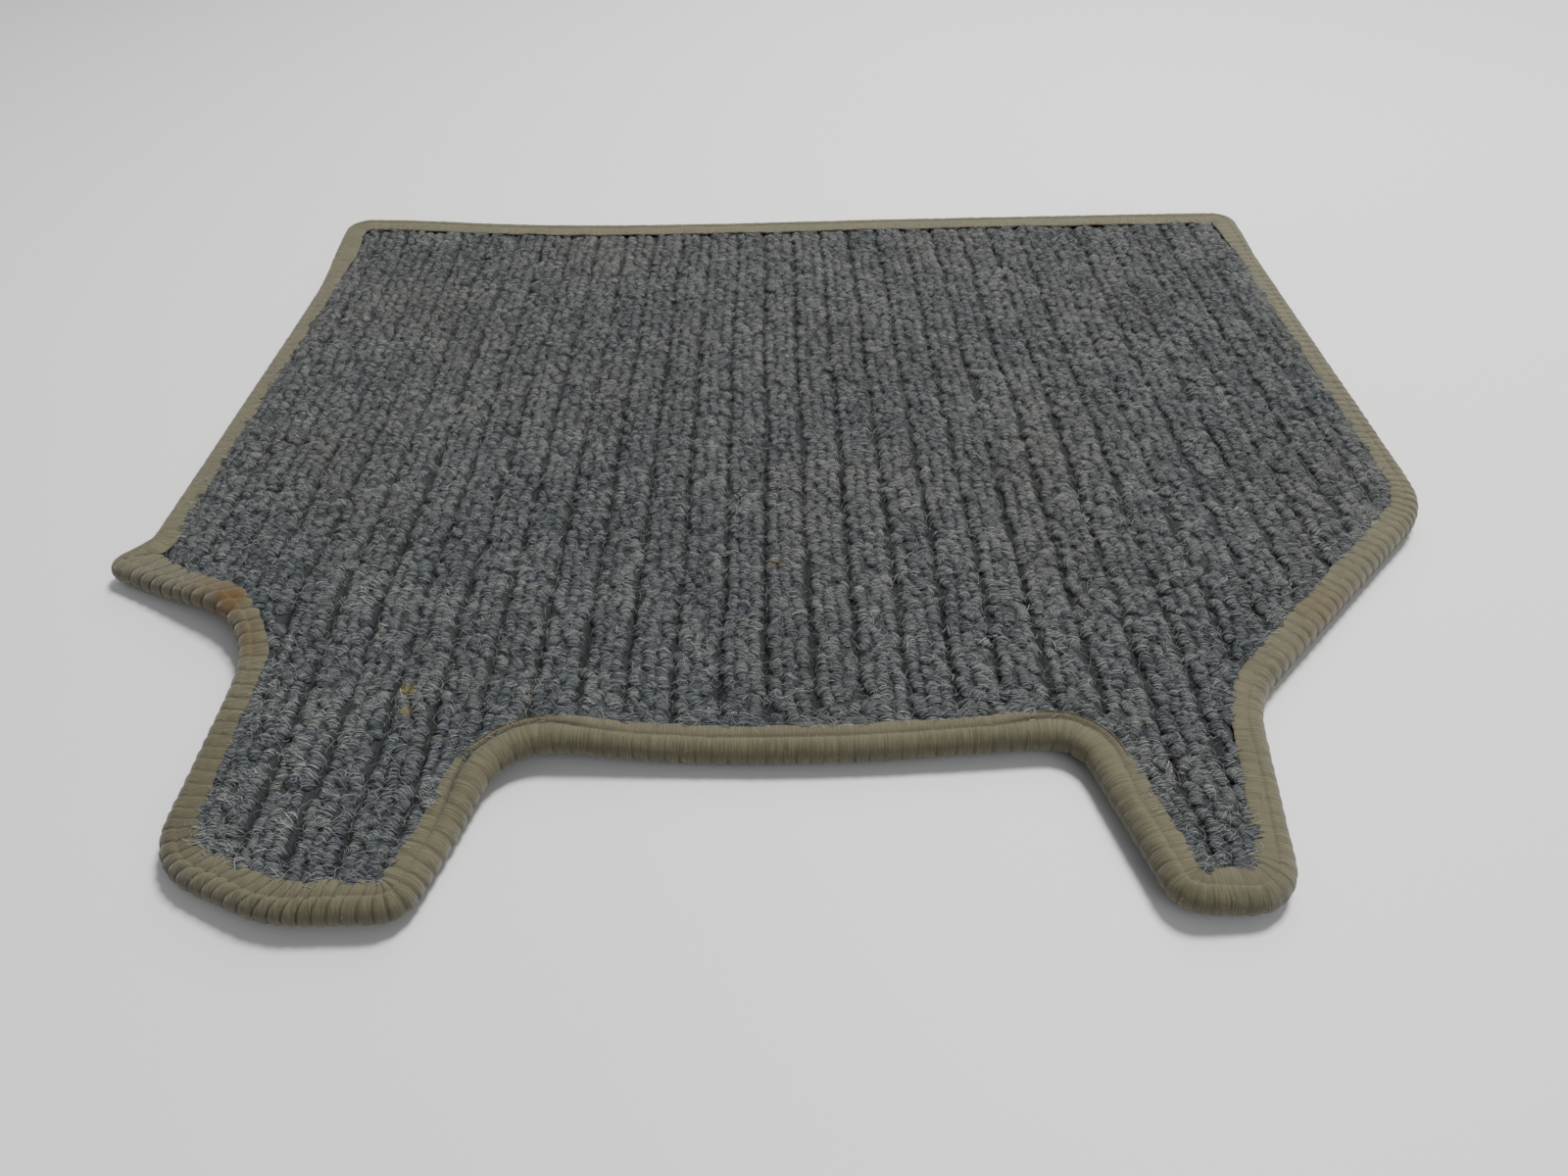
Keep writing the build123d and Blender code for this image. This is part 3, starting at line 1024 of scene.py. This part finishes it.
def felt_material():
    """The matted fibre deep in the pile: dark in the grooves as painted shade, and on the ribs a
    mid grey with short curled strokes of paler fibre."""
    shader = Shader("pile_felt", 0.95, 0.0, 0.05)
    rib = shader.add("ShaderNodeAttribute", attribute_name="rib").outputs["Fac"]
    strokes = shader.ramp(shader.noise(0.9, 4.0, 0.7, (1.0, 0.35, 1.0)), 0.44, 0.62)
    fine = shader.ramp(shader.noise(0.45, 4.0, 0.7, (0.5, 1.0, 1.0)), 0.48, 0.66)
    blue = shader.mix(shader.noise(6.0, 3.0), (0.044, 0.049, 0.054), (0.064, 0.068, 0.070))
    base = shader.mix(strokes, blue, (0.070, 0.076, 0.080), 0.6)
    base = shader.mix(fine, base, (0.12, 0.122, 0.118), 0.4)
    # Painted shade: the felt goes nearly black down in the grooves between the ribs.
    base = shader.mix(shader.ramp(rib, 0.2, 0.85), (0.027, 0.029, 0.0285), base)
    uneven = shader.math("ADD", strokes, fine)
    return shader.finish(base, (shader.noise(2.0), 0.85, 1.0), (uneven, 0.8, 0.5))


def tape_material():
    """Olive tape of fine threads laid across it, with painted shade where the pleats meet and
    along the seam's crease.
    """
    shader = Shader("tape_weave", 0.85, 0.2)
    uv = shader.add("ShaderNodeUVMap", uv_map="tape").outputs[0]
    strand = (1 / (0.42 * MM), 1 / (7.0 * MM), 1.0)
    strands = shader.ramp(shader.noise(1 / MM, 2.0, 0.6, strand, uv), 0.38, 0.62)
    drift = shader.ramp(shader.noise(16.0, 3.0), 0.3, 0.7)
    base = shader.mix(drift, (0.055, 0.050, 0.028), (0.080, 0.073, 0.040))
    bands = shader.ramp(shader.noise(2.6, 2.0), 0.35, 0.7)
    base = shader.mix(bands, base, (0.088, 0.078, 0.047), 0.4)
    base = shader.mix(strands, base, (0.138, 0.126, 0.077), 0.6)
    # Painted shade in the valleys between pleats and along the seam's crease, darkening the tape
    # nearly to black.
    valley_shade = shader.add("ShaderNodeAttribute", attribute_name="valley_shade").outputs["Fac"]
    base = shader.mix(shader.ramp(valley_shade, 0.1, 0.85), base, (0.012, 0.010, 0.006), 0.75)
    base = marked(shader, base, TAPE_SPOTS, 6.0)
    return shader.finish(base, (strands, 0.75, 0.95), (strands, 0.55, 0.25))


# Marks on the pile: x, y, radius, strength and colour
PILE_SPOTS = [
    (-112.5, -132.0, 3.6, 0.6, STAIN_YELLOW),
    (-111.0, -141.5, 2.8, 0.6, STAIN_YELLOW),
    (0.0, -76.0, 3.5, 0.5, STAIN_BROWN),
]

# Marks on the tape: x, y, radius, strength and colour
TAPE_SPOTS = [
    # Darker tint over the tape along the outer side of the left leg
    (-170.0, -160.0, 34.0, 0.4, DARK_TAPE_TINT),
    (-171.0, -186.0, 16.0, 0.3, DARK_TAPE_TINT),
    (-181.5, -93.5, 9.0, 0.85, RUST),
    (-186.0, -88.0, 16.0, 0.35, RUST),
    (-173.5, -110.0, 12.0, 0.35, RUST),
    (176.0, -107.0, 16.0, 0.25, RUST),
]


def fuzz_material():
    """Loose fibre of the tape."""
    shader = Shader("tape_fuzz", 0.9, 0.2)
    drift = shader.noise(3.0, 2.0)
    base = shader.mix(drift, (0.24, 0.215, 0.14), (0.38, 0.35, 0.26))
    return shader.finish(base, (drift, 0.8, 1.0))


def cloth_material():
    """Jute-coloured plain weave."""
    shader = Shader("backing_weave", 0.9, 0.1)
    split = shader.add("ShaderNodeSeparateXYZ", [(0, shader.place)])
    pace = 2 * math.pi / (CLOTH_WEAVE * MM)
    warp = shader.math("SINE", shader.times(split.outputs[0], pace))
    weft = shader.math("SINE", shader.times(split.outputs[1], pace))
    weave = shader.ramp(shader.times(warp, weft), -0.6, 0.6)
    base = shader.mix(weave, (0.24, 0.20, 0.13), (0.42, 0.37, 0.27))
    base = shader.mix(shader.noise(4.0, 3.0), base, (0.33, 0.28, 0.2))
    return shader.finish(base, (shader.noise(1.0), 0.8, 1.0), (weave, 0.6, 0.3))


def rubber_material():
    """Foamed black rubber with a fine open grain and a little chalky bloom."""
    shader = Shader("foam_rubber", 0.75, 0.0)
    cells = shader.add("ShaderNodeTexVoronoi", [("Vector", shader.place), ("Scale", 900.0)])
    pores = shader.ramp(cells.outputs["Distance"], 0.1, 0.5)
    bloom = shader.ramp(shader.noise(25.0, 4.0), 0.45, 0.75)
    base = shader.mix(pores, (0.012, 0.012, 0.012), (0.035, 0.035, 0.034))
    base = shader.mix(bloom, base, (0.085, 0.083, 0.078), 0.5)
    return shader.finish(base, (shader.noise(3.0), 0.6, 0.9), (pores, 0.6, 0.25))


def thread_material():
    """Dark brown sewing thread with its twist."""
    shader = Shader("sewing_thread", 0.7, 0.2)
    twist = shader.noise(0.3, 2.0)
    base = shader.mix(twist, (0.045, 0.036, 0.022), (0.11, 0.09, 0.055))
    return shader.finish(base, (twist, 0.6, 0.85), (twist, 0.6, 0.1))


# Yarn colours: name, share of the yarn, and the two shades it drifts between
YARN_COLOURS = [
    ("charcoal", 0.13, (0.036, 0.040, 0.045), (0.058, 0.062, 0.066)),
    ("navy", 0.17, (0.052, 0.069, 0.098), (0.075, 0.092, 0.118)),
    ("slate", 0.25, (0.104, 0.127, 0.145), (0.136, 0.157, 0.170)),
    ("mid_grey", 0.22, (0.176, 0.187, 0.185), (0.215, 0.225, 0.219)),
    ("light_grey", 0.13, (0.256, 0.266, 0.258), (0.300, 0.308, 0.293)),
    ("pale", 0.04, (0.35, 0.35, 0.33), (0.40, 0.395, 0.37)),
    ("brown_grey", 0.06, (0.140, 0.127, 0.101), (0.184, 0.167, 0.136)),
]


# ---- make the pieces
def loose_yarn(name, paths, radii, across, material):
    """Fine fibres on the pile, in pieces small enough to share."""
    pieces = []
    for part, first in enumerate(range(0, len(paths), HAIRS_PER_PIECE)):
        some = slice(first, first + HAIRS_PER_PIECE)
        piece = tubes(f"{name}_{part}", paths[some], radii, across[some], FIBRE_SIDES)
        pieces.append(finish_piece(piece, material, "pile"))
    return pieces


def make_yarn():
    """All the yarn, sorted by colour into pieces small enough to share."""
    paths, sideways, lock, tuft = yarn_arches()
    alone, shared = rng.random(len(lock)), rng.random(lock.max() + 1)[lock]
    draw = np.where(rng.random(len(lock)) < OWN_COLOUR, alone, shared)
    draw = draw + 0.4 * (tuft_tone[tuft] - 0.5)
    order = ["charcoal", "navy", "brown_grey", "slate", "mid_grey", "light_grey", "pale"]
    shares = {name: share for name, share, _, _ in YARN_COLOURS}
    bounds = np.cumsum([shares[name] for name in order])
    group = np.searchsorted(bounds / bounds[-1], ranked(draw), side="right")
    pieces = []
    for name, _, colour, other in YARN_COLOURS:
        material = yarn_material("yarn_" + name, colour, other)
        members = np.flatnonzero(group == order.index(name))
        for part, start in enumerate(range(0, len(members), YARNS_PER_PIECE)):
            chosen = members[start : start + YARNS_PER_PIECE]
            radii = YARN_RADIUS * rng.uniform(0.8, 1.2, len(chosen))[:, None] * YARN_TAPER
            across = sideways[chosen]
            piece = tubes(f"pile_{name}_{part}", paths[chosen], radii, across, FIBRE_SIDES)
            pieces.append(finish_piece(piece, material, "pile"))
    wool = wool_material()
    for part, first in enumerate(range(0, tufts, TUFTS_PER_PIECE)):
        last = min(first + TUFTS_PER_PIECE, tufts)
        piece = tuft_bodies(f"pile_tufts_{part}", first, last)
        pieces.append(finish_piece(piece, wool, "pile"))
    material = yarn_material("yarn_stray", (0.26, 0.27, 0.27), (0.42, 0.42, 0.40))
    hairs, across = stray_paths()
    radii = [HAIR_TIP] + [HAIR_RADIUS] * (HAIR_RINGS - 2) + [HAIR_TIP]
    pieces += loose_yarn("pile_stray_hairs", hairs, radii, across, material)
    curls, across = ringlet_paths()
    pieces += loose_yarn("pile_ringlets", curls, RINGLET_RADIUS, across, material)
    return pieces


def make_tape():
    """The binding in two stretches that meet in the valley between two pleats."""
    points, valley_shade, uv = tape_points()
    material = tape_material()
    half = len(rim) // 2
    front = tape_piece("binding_tape_front", 0, half, points, valley_shade, uv)
    back = tape_piece("binding_tape_back", half, len(rim), points, valley_shade, uv)
    hairs, across = fuzz_paths(points)
    fuzz = tubes("binding_fuzz", hairs, FUZZ_RADIUS, across, FIBRE_SIDES)
    finish_piece(fuzz, fuzz_material(), "tape")
    pieces = [finish_piece(piece, material, "tape", "binding_tape") for piece in (front, back)]
    return pieces, fuzz


pile_felt = layer("pile_felt", *FELT_STEPS, FELT_INSET, CLOTH_TOP, pile_floor)
corners = np.empty(len(pile_felt.data.vertices) * 3, np.float32)
pile_felt.data.vertices.foreach_get("co", corners)
corners = corners.reshape(-1, 3) / MM
# The rib height, which the felt's material reads to paint shade into the grooves.
add_attribute(pile_felt, "rib", "FLOAT", rib_height(corners[:, 0], corners[:, 1]))
finish_piece(pile_felt, felt_material(), "pile", "carpet_pile")
cloth_steps = (CLOTH_STEP, CLOTH_STEP)
cloth = layer("primary_backing_cloth", *cloth_steps, UNDER_INSET, PAD_TOP, CLOTH_TOP)
finish_piece(cloth, cloth_material(), "backing_cloth", "primary_backing")
pad = layer("rubber_backing_pad", PAD_STEP, PAD_STEP, UNDER_INSET, pad_bottom, PAD_TOP)
finish_piece(pad, rubber_material(), "foam_rubber", "rubber_backing")
yarn = make_yarn()
tape, fuzz = make_tape()
thread = thread_material()
needle_dip = crease_depth + 0.25 * (1.0 - creased)  # how far the thread sinks in
upper_stitches = stitches("needle_stitches", TAPE_TOP - 0.35, 0.25, seam_shift, needle_dip)
finish_piece(upper_stitches, thread, "thread", "needle_thread")
level = np.zeros(len(rim))
lower_stitches = stitches("bobbin_stitches", 0.42, -0.3, level, level)
finish_piece(lower_stitches, thread, "thread", "bobbin_thread")

outside = tape_section()[0][: LAST_OUTSIDE + 1]


# ---- floor, light, camera
FLOOR_REACH = 4000.0
FLOOR_GAP = 0.4


def add_floor():
    """A pale level floor, just under the mat."""
    corners = FLOOR_REACH * np.array([(-1, -1, 0), (1, -1, 0), (1, 1, 0), (-1, 1, 0)])
    floor = build_mesh("floor", corners, np.array([(0, 1, 2, 3)]))
    floor.location.z = cad_low.z - FLOOR_GAP * MM
    shader = Shader("floor_paint", 0.55, 0.0)
    colour = shader.mix(shader.noise(400.0), (0.68, 0.68, 0.685), (0.72, 0.72, 0.72))
    floor.data.materials.append(shader.finish(colour))


def add_light(name, place, size, power, colour):
    """A square soft light that faces the mat."""
    data = bpy.data.lights.new(name, "AREA")
    data.size = size
    data.energy = power
    data.color = colour
    light = add_object(name, data)
    light.location = place
    light.rotation_euler = (-Vector(place)).to_track_quat("-Z", "Y").to_euler()


add_floor()
add_light("key", (0.42, 0.4, 1.4), 0.4, 36.5, (1.0, 0.985, 0.96))
add_light("back", (0.3, 1.2, 1.1), 0.9, 9.0, (0.98, 0.99, 1.0))
add_light("fill", (0.8, -1.3, 1.0), 1.2, 7.5, (0.98, 0.985, 1.0))
world = bpy.data.worlds.new("studio")
world.use_nodes = True
world.node_tree.nodes["Background"].inputs["Color"].default_value = (0.95, 0.97, 1.0, 1.0)
world.node_tree.nodes["Background"].inputs["Strength"].default_value = 0.28
bpy.context.scene.world = world

# The camera stands in front of the mat's front edge and looks down over it
CAMERA_PLACE = Vector((0.0052, -0.3909, 0.2645))
CAMERA_DOWN, CAMERA_LEFT, CAMERA_ROLL = 40.16, 1.71, -2.72
CAMERA_LENS = 27.27
CAMERA_SHIFT = 0.0132
camera_data = bpy.data.cameras.new("camera")
camera_data.lens = CAMERA_LENS
camera_data.shift_x = CAMERA_SHIFT
camera_data.clip_start = 0.01
camera = add_object("camera", camera_data)
aim = Euler((math.radians(90 - CAMERA_DOWN), 0, math.radians(CAMERA_LEFT))).to_matrix()
roll = Euler((0, 0, math.radians(CAMERA_ROLL))).to_matrix()
camera.rotation_euler = (aim @ roll).to_euler()
camera.location = CAMERA_PLACE
bpy.context.scene.camera = camera
